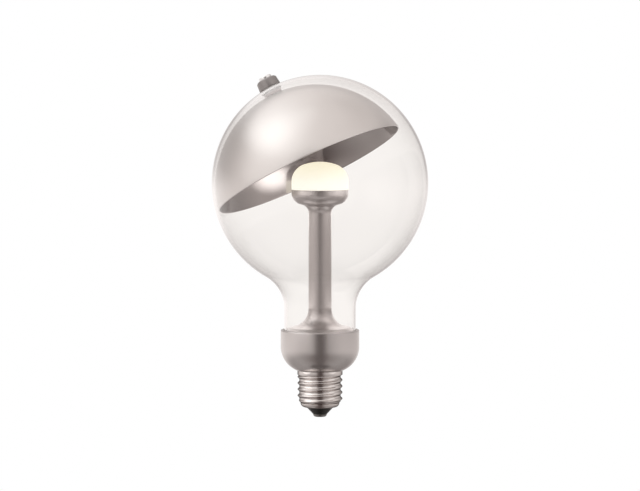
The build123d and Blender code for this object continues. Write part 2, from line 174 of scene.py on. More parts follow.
def turn(
    name: str,
    section: Sequence[Point],
    segments: int,
    frame: Optional[Matrix] = None,
    warp: Optional[Warp] = None,
    slot_of: Optional[Callable[[float, float], int]] = None,
    crease: float = 32.0,
) -> bpy.types.Object:
    """Turned piece: a closed section carried round the Z axis.

    Args:
        name: Name of the new object.
        section: Points of radius and height, in millimetres.
        segments: Steps round the axis.
        frame: Where the piece stands, with its place in millimetres.
        warp: Gives the radius at an angle, radius and height, for a piece that isn't round all over.
        slot_of: Gives the material slot at the middle of a run of the section.
        crease: Angle between faces, in degrees, above which an edge is sharp.

    Returns:
        The object, at the origin, with a layer of turned coordinates for its finish.
    """
    vertices: list[Vector] = []
    rows: list[list[int]] = []
    for r, z in section:
        if r < POLE:
            rows.append([len(vertices)] * segments)
            vertices.append(Vector((0, 0, z)))
            continue
        row = []
        for step in range(segments):
            angle = 2 * math.pi * step / segments
            reach = warp(angle, r, z) if warp else r
            row.append(len(vertices))
            vertices.append(Vector((reach * math.cos(angle), reach * math.sin(angle), z)))
        rows.append(row)
    faces: list[list[int]] = []
    places: list[list[Point]] = []
    slots: list[int] = []
    along = 0.0
    for number, row in enumerate(rows):
        following = (number + 1) % len(rows)
        (r, z), (far_r, far_z) = section[number], section[following]
        if r < POLE and far_r < POLE:
            continue
        far = along + math.hypot(far_r - r, far_z - z) * MM
        for step in range(segments):
            after = (step + 1) % segments
            corners = [row[step], row[after], rows[following][after], rows[following][step]]
            spots = [(step, along), (step + 1, along), (step + 1, far), (step, far)]
            kept = [i for i in range(4) if corners[i] != corners[i - 1]]
            faces.append([corners[i] for i in kept])
            places.append([(spots[i][0] / segments, spots[i][1]) for i in kept])
            slots.append(slot_of((r + far_r) / 2, (z + far_z) / 2) if slot_of else 0)
        along = far
    mesh = bpy.data.meshes.new(name)
    mesh.from_pydata([(frame @ v if frame else v) * MM for v in vertices], [], faces)
    layer = mesh.uv_layers.new(name="turned")
    layer.data.foreach_set("uv", [value for face in places for spot in face for value in spot])
    mesh.polygons.foreach_set("material_index", slots)
    return settle(name, mesh, crease)


def settle(name: str, mesh: bpy.types.Mesh, crease: float) -> bpy.types.Object:
    """Turns a mesh's faces outwards, smooths it between its creases and puts it in the scene.

    Args:
        name: Name of the new object.
        mesh: Mesh of the piece.
        crease: Angle between faces, in degrees, above which an edge is sharp.

    Returns:
        The object.
    """
    work = bmesh.new()
    work.from_mesh(mesh)
    bmesh.ops.recalc_face_normals(work, faces=work.faces[:])
    work.to_mesh(mesh)
    work.free()
    mesh.shade_smooth()
    mesh.set_sharp_from_angle(angle=math.radians(crease))
    return stand(name, mesh)


def stand(name: str, data: bpy.types.ID) -> bpy.types.Object:
    """Puts a new object in the scene.

    Args:
        name: Name of the object.
        data: Its mesh, lamp or camera.

    Returns:
        The object.
    """
    made = bpy.data.objects.new(name, data)
    bpy.context.scene.collection.objects.link(made)
    return made


# Node groups that several finishes share


class NodeBoard:
    """Node tree with short calls that add nodes already joined up."""

    def __init__(self, tree: bpy.types.NodeTree) -> None:
        """Keeps the tree and empties it."""
        self.tree = tree
        tree.nodes.clear()

    @classmethod
    def of(cls, owner: bpy.types.ID) -> NodeBoard:
        """Empty board of a material, a surround or a lamp."""
        owner.use_nodes = True
        return cls(owner.node_tree)

    def add(self, kind: str, inputs: Optional[dict] = None, **settings: object) -> Outputs:
        """Adds a node.

        Args:
            kind: Blender's name of the node.
            inputs: What goes into its inputs, by name or number: sockets, numbers, vectors or colours.
            settings: Settings of the node itself.

        Returns:
            Its outputs.
        """
        node = self.tree.nodes.new(kind)
        for key, value in settings.items():
            setattr(node, key, value)
        for key, value in (inputs or {}).items():
            socket = node.inputs[key]
            if isinstance(value, Socket):
                self.tree.links.new(value, socket)
            else:
                socket.default_value = (*value, 1.0) if socket.type == "RGBA" else value
        return node.outputs

    def show(self, shader: Socket, owner: str = "Material") -> None:
        """Gives a shader to the material, World or Light that owns the tree."""
        self.add(f"ShaderNodeOutput{owner}", {"Surface": shader})

    def group(self, tree: bpy.types.NodeTree, **inputs: float) -> Outputs:
        """Adds a node group, and gives its outputs."""
        return self.add("ShaderNodeGroup", inputs, node_tree=tree)

    def place(self) -> Socket:
        """Place on the piece, in its own frame."""
        return self.add("ShaderNodeTexCoord")["Object"]

    def axis(self, way: Socket, number: int) -> Socket:
        """Part of a place or direction along X, Y or Z, numbered from 0."""
        return self.add("ShaderNodeSeparateXYZ", {0: way})[number]

    def noise(self, place: object, scale: object, **inputs: float) -> Socket:
        """Noise at a place."""
        return self.add("ShaderNodeTexNoise", {"Vector": place, "Scale": scale, **inputs})[0]

    def ease(self, value: object, low: float, high: float) -> Socket:
        """Soft step of a value, from 0 at the low end to 1 at the high end."""
        ends = {"Value": value, "From Min": low, "From Max": high}
        return self.add("ShaderNodeMapRange", ends, interpolation_type="SMOOTHSTEP")[0]

    def math(self, operation: str, *values: object) -> Socket:
        """Sum, product or other result of sockets and numbers."""
        return self.add("ShaderNodeMath", dict(enumerate(values)), operation=operation)[0]

    def blend(self, mode: str, amount: object, first: object, second: object) -> Socket:
        """Blend of two colours, by the Mix node's own numbers of its colour sockets."""
        inputs = {0: amount, 6: first, 7: second}
        return self.add("ShaderNodeMix", inputs, data_type="RGBA", blend_type=mode)[2]

    def mix(self, amount: object, first: object, second: object) -> Socket:
        """Mix of two shaders."""
        return self.add("ShaderNodeMixShader", {0: amount, 1: first, 2: second})[0]

    def bump(self, height: object, strength: float, distance: float) -> Socket:
        """Normals bent by a height, of which a step of 1 is a distance in metres."""
        return self.add("ShaderNodeBump", {"Height": height, "Strength": strength, "Distance": distance})[0]


class Effects:
    """Node groups for the small irregularities of real surfaces, each built once."""

    def __init__(self) -> None:
        """Builds the groups."""
        self.mottle = self._mottle()
        self.grain = self._grain()
        self.smears = self._smears()
        self.lines = self._lines()
        self.dust = self._dust()

    @staticmethod
    def _start(name: str, inputs: dict[str, float], *outputs: str) -> tuple[NodeBoard, Outputs]:
        """Starts a group.

        Args:
            name: Name of the group.
            inputs: Names and defaults of its inputs.
            outputs: Names of its outputs.

        Returns:
            The board, and what comes in.
        """
        tree = bpy.data.node_groups.new(name, "ShaderNodeTree")
        for label, default in inputs.items():
            socket = tree.interface.new_socket(label, in_out="INPUT", socket_type="NodeSocketFloat")
            socket.default_value = default
        for label in outputs:
            tree.interface.new_socket(label, in_out="OUTPUT", socket_type="NodeSocketFloat")
        board = NodeBoard(tree)
        return board, board.add("NodeGroupInput")

    def _mottle(self) -> bpy.types.NodeTree:
        """Cloudy change of tone about 1, and a finer one of gloss about 0.

        Returns:
            The group.
        """
        board, enter = self._start("surface_mottle", {"Size": 150.0, "Contrast": 0.05}, "Tone", "Gloss")
        made = {}
        for label, finer, middle in (("Tone", 1.0, 1.0), ("Gloss", 2.7, 0.0)):
            scale = board.math("MULTIPLY", enter["Size"], finer)
            cloud = board.noise(board.place(), scale, Detail=4.0, Roughness=0.55)
            swing = board.math("MULTIPLY_ADD", cloud, 2.0, -1.0)
            made[label] = board.math("MULTIPLY_ADD", swing, enter["Contrast"], middle)
        board.add("NodeGroupOutput", made)
        return board.tree

    def _grain(self) -> bpy.types.NodeTree:
        """Fine grain of paint, moulded plastic or frosted metal.

        Returns:
            The group.
        """
        board, enter = self._start("fine_grain", {"Size": 6000.0, "Depth": 1.0}, "Height")
        grain = board.noise(board.place(), enter["Size"], Detail=2.0, Roughness=0.6)
        board.add("NodeGroupOutput", {"Height": board.math("MULTIPLY", grain, enter["Depth"])})
        return board.tree

    def _smears(self) -> bpy.types.NodeTree:
        """Soft smears left by handling.

        Returns:
            The group.
        """
        board, enter = self._start("handling_smears", {"Size": 60.0, "Cover": 0.5}, "Mask")
        stroke = {"Vector": board.place(), "Rotation": (0.4, 0.9, 0.3), "Scale": (1.0, 2.6, 0.7)}
        drawn = board.add("ShaderNodeMapping", stroke)[0]
        smear = board.noise(drawn, enter["Size"], Detail=5.0, Roughness=0.62, Distortion=0.4)
        mask = board.math("MULTIPLY", board.ease(smear, 0.46, 0.74), enter["Cover"])
        board.add("NodeGroupOutput", {"Mask": mask})
        return board.tree

    def _lines(self) -> bpy.types.NodeTree:
        """Fine rings that turning, spinning or rolling leaves round a piece.

        Returns:
            The group.
        """
        board, enter = self._start("turning_lines", {"Pitch": 0.0004, "Depth": 1.0}, "Height")
        along = board.axis(board.add("ShaderNodeUVMap", uv_map="turned")[0], 1)
        ring = board.add(
            "ShaderNodeTexNoise",
            {"W": board.math("DIVIDE", along, enter["Pitch"]), "Scale": 1.0, "Detail": 3.0},
            noise_dimensions="1D",
        )[0]
        board.add("NodeGroupOutput", {"Height": board.math("MULTIPLY", ring, enter["Depth"])})
        return board.tree

    def _dust(self) -> bpy.types.NodeTree:
        """Thin dust on faces that look up.

        Returns:
            The group.
        """
        board, enter = self._start("settled_dust", {"Size": 900.0, "Cover": 0.1}, "Mask")
        up = board.ease(board.axis(board.add("ShaderNodeNewGeometry")["Normal"], 2), 0.35, 1.0)
        fleck = board.noise(board.place(), enter["Size"], Detail=3.0, Roughness=0.7)
        mask = board.math("MULTIPLY", board.math("MULTIPLY", up, fleck), enter["Cover"])
        board.add("NodeGroupOutput", {"Mask": mask})
        return board.tree


# Finishes


@dataclass(frozen=True)
class Finish:
    """Look of a surface."""

    name: str

    def shader(self, board: NodeBoard, effects: Effects) -> Socket:
        """Shader of the finish."""
        raise NotImplementedError

    def material(self, effects: Effects) -> bpy.types.Material:
        """Builds the material.

        Args:
            effects: Node groups shared by the finishes.

        Returns:
            The material.
        """
        material = bpy.data.materials.new(self.name)
        board = NodeBoard.of(material)
        board.show(self.shader(board, effects))
        return material


@dataclass(frozen=True)
class SurfaceFinish(Finish):
    """Opaque finish: a tone with cloudy change, grain, smears, dust and an optional pattern."""

    colour: Colour
    metallic: float = 0.0
    roughness: float = 0.4
    patch_mm: float = 7.0
    contrast: float = 0.05
    grain_mm: float = 0.2
    grain_depth: float = 0.2
    line_mm: float = 0.0
    line_depth: float = 0.3
    smear: float = 0.05
    dust: float = 0.0
    specular: float = 0.5
    edge: float = 1.0
    pattern: Pattern = Pattern.PLAIN
    second: Colour = (0.5, 0.5, 0.5)
    pattern_mm: float = 1.0
    track_length: float = 3.4        # length of a track between its ends, over its pitch
    relief: float = 0.3
    relief_mm: float = 0.02

    def _mask(self, board: NodeBoard) -> Socket:
        """Mask of the second colour.

        Args:
            board: Node tree of the material.

        Returns:
            The mask.
        """
        place = board.place()
        if self.pattern is Pattern.TRACKED:
            upright = board.add("ShaderNodeMapping", {"Vector": place, "Rotation": (math.pi / 2, 0, 0)})
            tracks = {
                "Vector": upright[0], "Color1": BLACK, "Color2": BLACK, "Mortar": WHITE, "Scale": 1 / MM,
                "Mortar Size": 0.16, "Row Height": self.pattern_mm,
                "Brick Width": self.track_length * self.pattern_mm,
            }
            return board.add("ShaderNodeTexBrick", tracks)["Color"]
        bands = {"Vector": place, "Scale": WAVE_SCALE / (self.pattern_mm * MM), "Distortion": 0.2}
        wave = board.add("ShaderNodeTexWave", bands, bands_direction=self.pattern.value)
        return board.ease(wave["Fac"], 0.55, 0.75)

    def shader(self, board: NodeBoard, effects: Effects) -> Socket:
        """Shader of the finish.

        Args:
            board: Node tree of the material.
            effects: Node groups shared by the finishes.

        Returns:
            The shader.
        """
        mottle = board.group(effects.mottle, Size=1 / (self.patch_mm * MM), Contrast=self.contrast)
        tone: object = self.colour
        if self.pattern is not Pattern.PLAIN:
            tone = board.blend("MIX", self._mask(board), self.colour, self.second)
        tone = board.blend("MULTIPLY", 1.0, tone, mottle["Tone"])
        if self.dust:
            tone = board.blend("MIX", board.group(effects.dust, Cover=self.dust)["Mask"], tone, DUST)
        smears = board.group(effects.smears, Cover=self.smear)
        gloss = board.math("ADD", mottle["Gloss"], smears["Mask"])
        height = board.group(effects.grain, Size=1 / (self.grain_mm * MM), Depth=self.grain_depth)["Height"]
        if self.line_mm:
            lines = board.group(effects.lines, Pitch=self.line_mm * MM, Depth=self.line_depth)
            height = board.math("ADD", height, lines["Height"])
        return board.add(
            "ShaderNodeBsdfPrincipled",
            {"Base Color": tone, "Metallic": self.metallic, "Specular IOR Level": self.specular,
             "Specular Tint": (self.edge,) * 3, "Roughness": board.math("ADD", gloss, self.roughness),
             "Normal": board.bump(height, self.relief, self.relief_mm * MM)},
        )[0]


@dataclass(frozen=True)
class ClearGlass(Finish):
    """Blown clear glass with faint waves and the odd smear."""

    name: str = "blown_glass"
    tint: Colour = (0.984, 0.966, 0.95)
    index: float = 1.33
    specular: float = 0.25
    smear: float = 0.015
    wave_size: float = 45.0
    relief: float = 0.05
    relief_mm: float = 0.3

    def shader(self, board: NodeBoard, effects: Effects) -> Socket:
        """Shader of the glass.

        Args:
            board: Node tree of the material.
            effects: Node groups shared by the finishes.

        Returns:
            The shader, which lets light and reflections through to the pieces inside.
        """
        waves = board.group(effects.grain, Size=self.wave_size)["Height"]
        glass = board.add(
            "ShaderNodeBsdfPrincipled",
            {"Base Color": self.tint, "IOR": self.index, "Transmission Weight": 1.0,
             "Specular IOR Level": self.specular,
             "Roughness": board.group(effects.smears, Cover=self.smear)["Mask"],
             "Normal": board.bump(waves, self.relief, self.relief_mm * MM)},
        )[0]
        path = board.add("ShaderNodeLightPath")
        passing = board.math("MAXIMUM", path["Is Shadow Ray"], path["Is Diffuse Ray"])
        bounced = board.math("SUBTRACT", path["Is Glossy Ray"], path["Is Transmission Ray"])
        clear = board.add("ShaderNodeBsdfTransparent")[0]
        return board.mix(board.math("MAXIMUM", passing, bounced), glass, clear)


@dataclass(frozen=True)
class OpalGlow(Finish):
    """Opal plastic lit from inside, whitest near the LEDs and warmer over the crown."""

    name: str = "lit_opal"
    colour: Colour = (0.34, 0.33, 0.31)
    low: Colour = (1.0, 0.985, 0.88)
    high: Colour = (1.0, 0.94, 0.73)
    strength: float = 0.92
    low_z: float = 131.8
    high_z: float = 147.7
    contrast: float = 0.03
    roughness: float = 0.42
    relief: float = 0.15
    relief_mm: float = 0.03

    def shader(self, board: NodeBoard, effects: Effects) -> Socket:
        """Shader of the opal.

        Args:
            board: Node tree of the material.
            effects: Node groups shared by the finishes.

        Returns:
            The shader.
        """
        mottle = board.group(effects.mottle, Contrast=self.contrast)
        rise = board.ease(board.axis(board.place(), 2), self.low_z * MM, self.high_z * MM)
        glow = board.blend("MIX", rise, self.low, self.high)
        grain = board.group(effects.grain)["Height"]
        return board.add(
            "ShaderNodeBsdfPrincipled",
            {"Base Color": board.blend("MULTIPLY", 1.0, self.colour, mottle["Tone"]),
             "Emission Color": board.blend("MULTIPLY", 1.0, glow, mottle["Tone"]),
             "Emission Strength": self.strength,
             "Roughness": board.math("ADD", mottle["Gloss"], self.roughness),
             "Normal": board.bump(grain, self.relief, self.relief_mm * MM)},
        )[0]


@dataclass(frozen=True)
class PaleFloor(Finish):
    """Plain pale floor that the camera sees nearly white, open to views from underneath."""

    name: str = "pale_floor"
    tone: float = 0.9
    white: float = 0.7

    def shader(self, board: NodeBoard, effects: Effects) -> Socket:
        """Shader of the floor.

        Args:
            board: Node tree of the material.
            effects: Node groups shared by the finishes, which a plain floor has no use for.

        Returns:
            The shader.
        """
        paint = board.add("ShaderNodeBsdfDiffuse", {"Color": (self.tone,) * 3})[0]
        light = board.add("ShaderNodeEmission", {"Color": WHITE, "Strength": 1.0})[0]
        seen = board.math("MULTIPLY", board.add("ShaderNodeLightPath")["Is Camera Ray"], self.white)
        under = board.add("ShaderNodeNewGeometry")["Backfacing"]
        clear = board.add("ShaderNodeBsdfTransparent")[0]
        return board.mix(under, board.mix(seen, paint, light), clear)


SATIN_COLLAR = SurfaceFinish(
    "satin_collar", (0.66, 0.62, 0.602), metallic=0.92, roughness=0.24, patch_mm=4.0, contrast=0.012,
    grain_mm=0.25, grain_depth=0.03, smear=0.01, dust=0.05)
# The collar's satin colour at about three quarters: painted shade on the stem, which stands inside the glass
# under the dome
SHADED_SATIN_STEM = SurfaceFinish(
    "satin_stem", (0.5, 0.463, 0.451), metallic=0.92, roughness=0.41, patch_mm=4.0, contrast=0.012,
    grain_mm=0.25, grain_depth=0.03, smear=0.01, line_mm=0.6, line_depth=0.04)
FROSTED_SILVER = SurfaceFinish(
    "frosted_silver", (0.7, 0.672, 0.655), metallic=0.95, roughness=0.3, contrast=0.012, grain_mm=0.25,
    grain_depth=0.03, smear=0.01)
MIRROR_COAT = SurfaceFinish(
    "mirror_coat", (0.5, 0.463, 0.45), metallic=1.0, roughness=0.07, contrast=0.02, grain_mm=3.0,
    grain_depth=0.4, smear=0.03)
ROLLED_NICKEL = SurfaceFinish(
    "rolled_nickel", (0.78, 0.735, 0.71), metallic=1.0, roughness=0.13, patch_mm=4.0, line_mm=0.25,
    smear=0.06, edge=0.15)
BLACK_GLAZE = SurfaceFinish(
    "black_glaze", (0.012, 0.011, 0.009), roughness=0.28, patch_mm=3.0, contrast=0.25, grain_mm=0.6,
    grain_depth=0.6, smear=0.15, specular=0.3)
TINNED_CONTACT = SurfaceFinish(
    "tinned_contact", (0.3, 0.29, 0.275), metallic=1.0, roughness=0.34, patch_mm=1.5, contrast=0.2,
    grain_mm=0.5, grain_depth=1.0, smear=0.2)
PALE_HOLDER = SurfaceFinish("pale_holder", (0.6, 0.53, 0.515), contrast=0.04)
DARK_KNOB = SurfaceFinish(
    "dark_knob", (0.33, 0.305, 0.295), metallic=0.75, roughness=0.34, patch_mm=4.0, contrast=0.06,
    line_mm=0.3, line_depth=0.4, smear=0.08)
BRIGHT_CHROME = SurfaceFinish(
    "bright_chrome", (0.95, 0.945, 0.935), metallic=1.0, roughness=0.2, contrast=0.03, line_mm=0.2,
    line_depth=0.1, smear=0.06)

HIDDEN_FINISHES: dict[str, SurfaceFinish] = {
    "neck_seal": SurfaceFinish(
        "grey_cement", (0.56, 0.53, 0.49), roughness=0.85, patch_mm=1.6, contrast=0.2, grain_mm=0.25,
        grain_depth=1.4),
    "led_board": SurfaceFinish(
        "white_solder_mask", (0.86, 0.86, 0.83), roughness=0.35, pattern=Pattern.TRACKED,
        second=(0.78, 0.78, 0.75), pattern_mm=2.2),
    "led_chips": SurfaceFinish(
        "led_phosphor", (0.92, 0.72, 0.16), roughness=0.5, patch_mm=0.8, contrast=0.12, grain_mm=0.1,
        grain_depth=0.8),
    "board_screws": SurfaceFinish(
        "zinc_screw", (0.62, 0.62, 0.6), metallic=1.0, roughness=0.3, patch_mm=1.0, contrast=0.12,
        smear=0.15),
    "led_leads": SurfaceFinish(
        "lead_insulation", (0.84, 0.82, 0.77), roughness=0.48, patch_mm=5.0, grain_depth=0.4),
    "driver_board": SurfaceFinish(
        "green_solder_mask", (0.03, 0.2, 0.07), roughness=0.3, pattern=Pattern.TRACKED,
        second=(0.06, 0.3, 0.11), pattern_mm=1.3),
    "bulk_capacitor": SurfaceFinish(
        "capacitor_sleeve", (0.02, 0.025, 0.05), roughness=0.3, pattern=Pattern.STRIPED,
        second=(0.5, 0.51, 0.55), pattern_mm=8.0),
    "choke_core": SurfaceFinish(
        "grey_ferrite", (0.07, 0.07, 0.075), roughness=0.55, patch_mm=1.2, contrast=0.2, grain_depth=1.0),
    "choke_winding": SurfaceFinish(
        "enamelled_copper", (0.55, 0.2, 0.08), metallic=0.9, roughness=0.24, pattern=Pattern.WOUND,
        second=(0.25, 0.08, 0.03), pattern_mm=0.4),
    "bridge_rectifier": SurfaceFinish(
        "black_moulding", (0.02, 0.02, 0.02), roughness=0.55, patch_mm=1.5, contrast=0.2, grain_depth=0.9),
    "fuse_resistor": SurfaceFinish(
        "resistor_coat", (0.28, 0.38, 0.5), roughness=0.35, pattern=Pattern.BANDED, second=(0.5, 0.3, 0.1),
        pattern_mm=2.0),
    "driver_chip": SurfaceFinish(
        "chip_moulding", (0.025, 0.025, 0.026), roughness=0.5, patch_mm=1.0, contrast=0.2, grain_depth=0.8),
    "mains_leads": SurfaceFinish(
        "tinned_wire", (0.6, 0.58, 0.54), metallic=1.0, roughness=0.3, patch_mm=1.0, contrast=0.12,
        smear=0.15),
    "reflector_magnet": SurfaceFinish(
        "magnet_nickel", (0.66, 0.65, 0.62), metallic=1.0, roughness=0.16, patch_mm=2.0, contrast=0.06,
        smear=0.1),
    "knob_magnet": SurfaceFinish(
        "knob_magnet_nickel", (0.66, 0.65, 0.62), metallic=1.0, roughness=0.18, patch_mm=2.0, contrast=0.07,
        smear=0.1),
    "reflector_pad": SurfaceFinish(
        "pale_felt", (0.6, 0.58, 0.55), roughness=0.95, patch_mm=0.8, contrast=0.2, grain_mm=0.12,
        grain_depth=2.0),
    "knob_pad": SurfaceFinish(
        "grey_felt", (0.45, 0.43, 0.41), roughness=0.95, patch_mm=0.8, contrast=0.2, grain_mm=0.12,
        grain_depth=2.0),
}


# Pieces


@dataclass
class SubAssembly:
    """Pieces that are made together and dressed with the shared node groups."""

    effects: Effects

    def build(self) -> list[Piece]:
        """Makes the pieces."""
        raise NotImplementedError

    def fit(self, piece: Piece, body: Body, node: str, slot: str, *finishes: Finish) -> Piece:
        """Dresses a piece and puts it in the place of its solid.

        Args:
            piece: The new piece.
            body: Body that it rides on.
            node: Solid that it stands for.
            slot: Material slot of the record; not used.
            finishes: Finishes in the order of the mesh's slots.

        Returns:
            The piece.
        """
        for finish in finishes:
            piece.data.materials.append(finish.material(self.effects))
        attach(piece, body.value)
        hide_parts(node)
        return piece


@dataclass
class GlassGlobe(SubAssembly):
    """Blown globe that runs through a flare into an open neck."""

    radius: float = 62.5
    wall: float = 1.1
    neck_r: float = 20.75
    neck_rings: tuple[float, ...] = (57.0, 52.0, 47.0)
    flare: float = 21.5
    flare_z: float = 62.8
    foot_z: float = 42.6
    skin: float = 0.03               # how far the glass lies inside its solid's outer surface
    globe_points: int = 96
    flare_points: int = 24
    segments: int = 168
    crease: float = 60.0

    @property
    def flare_r(self) -> float:
        """Distance of the flare's centre from the axis."""
        return self.neck_r + self.flare

    @property
    def centre_z(self) -> float:
        """Height of the globe's centre."""
        return self.flare_z + math.sqrt((self.radius + self.flare) ** 2 - self.flare_r**2)

    @property
    def inner_r(self) -> float:
        """Inside radius of the globe."""
        return self.radius - self.wall

    def wall_line(self, depth: float) -> list[Corner]:
        """Wall from the crown down to the neck's foot.

        Args:
            depth: Distance inside the outer surface.

        Returns:
            Corners of the wall, from the crown down.
        """
        lean = math.degrees(math.atan2(self.centre_z - self.flare_z, self.flare_r))
        neck_r = self.neck_r - depth
        globe = arc((0, self.centre_z), self.radius - depth, 90, -lean, self.globe_points)
        globe[0] = (0.0, self.centre_z + self.radius - depth)
        flare = arc((self.flare_r, self.flare_z), self.flare + depth, 180 - lean, 180, self.flare_points)
        straight = [(neck_r, z) for z in self.neck_rings]
        return globe + flare[1:] + straight + [(neck_r, self.foot_z, Edge.ROUND)]

    def build(self) -> list[Piece]:
        """Builds the globe.

        Returns:
            The one piece.
        """
        section = rounded(self.wall_line(self.skin) + self.wall_line(self.wall)[::-1])
        piece = turn("globe_glass", section, self.segments, crease=self.crease)
        return [self.fit(piece, Body.BULB, "glass_globe", "clear_glass", ClearGlass())]


@dataclass
class BaseCollar(SubAssembly):
    """Satin cup between the glass and the screw cap."""

    radius: float = 22.75
    rim_z: float = 50.6
    rim_round: float = 0.7
    foot_z: float = 27.0
    foot_r: float = 13.5
    bowl: float = 14.9
    bowl_points: int = 28
    socket_r: float = 21.1
    shelf_z: float = 42.6
    shelf: float = 1.6
    opening_r: float = 15.5
    wall: float = 1.6
    floor_round: float = 1.0
    spigot_r: float = 10.7
    bore_r: float = 9.3
    spigot_z: float = 14.0
    segments: int = 160

    def build(self) -> list[Piece]:
        """Builds the collar.

        Returns:
            The one piece.
        """
        bowl_r = self.radius - self.bowl
        bowl_z = self.foot_z + math.sqrt(self.bowl**2 - (self.foot_r - bowl_r) ** 2)
        floor_z = self.foot_z + self.wall
        floor_r = bowl_r + math.sqrt((self.bowl - self.wall) ** 2 - (bowl_z - floor_z) ** 2)
        drop = math.degrees(math.asin((bowl_z - self.foot_z) / self.bowl))
        under_z = self.shelf_z - self.shelf
        bowl = arc((bowl_r, bowl_z), self.bowl, 0, -drop, self.bowl_points)
        bowl[-1] = (self.foot_r, self.foot_z, Edge.CRISP)
        corners = [
            (self.socket_r, self.rim_z, Edge.FULL), (self.radius, self.rim_z, self.rim_round), *bowl,
            (self.spigot_r, self.foot_z), (self.spigot_r, self.spigot_z, Edge.FINE),
            (self.bore_r, self.spigot_z, Edge.FINE), (self.bore_r, floor_z, Edge.WORN),
            (floor_r, floor_z, self.floor_round), (self.radius - self.wall, under_z, Edge.ROUND),
            (self.opening_r, under_z, Edge.WORN), (self.opening_r, self.shelf_z, Edge.WORN),
            (self.socket_r, self.shelf_z),
        ]
        piece = turn("collar_cup", rounded(corners), self.segments)
        return [self.fit(piece, Body.BULB, "base_collar", "satin_collar", SATIN_COLLAR)]


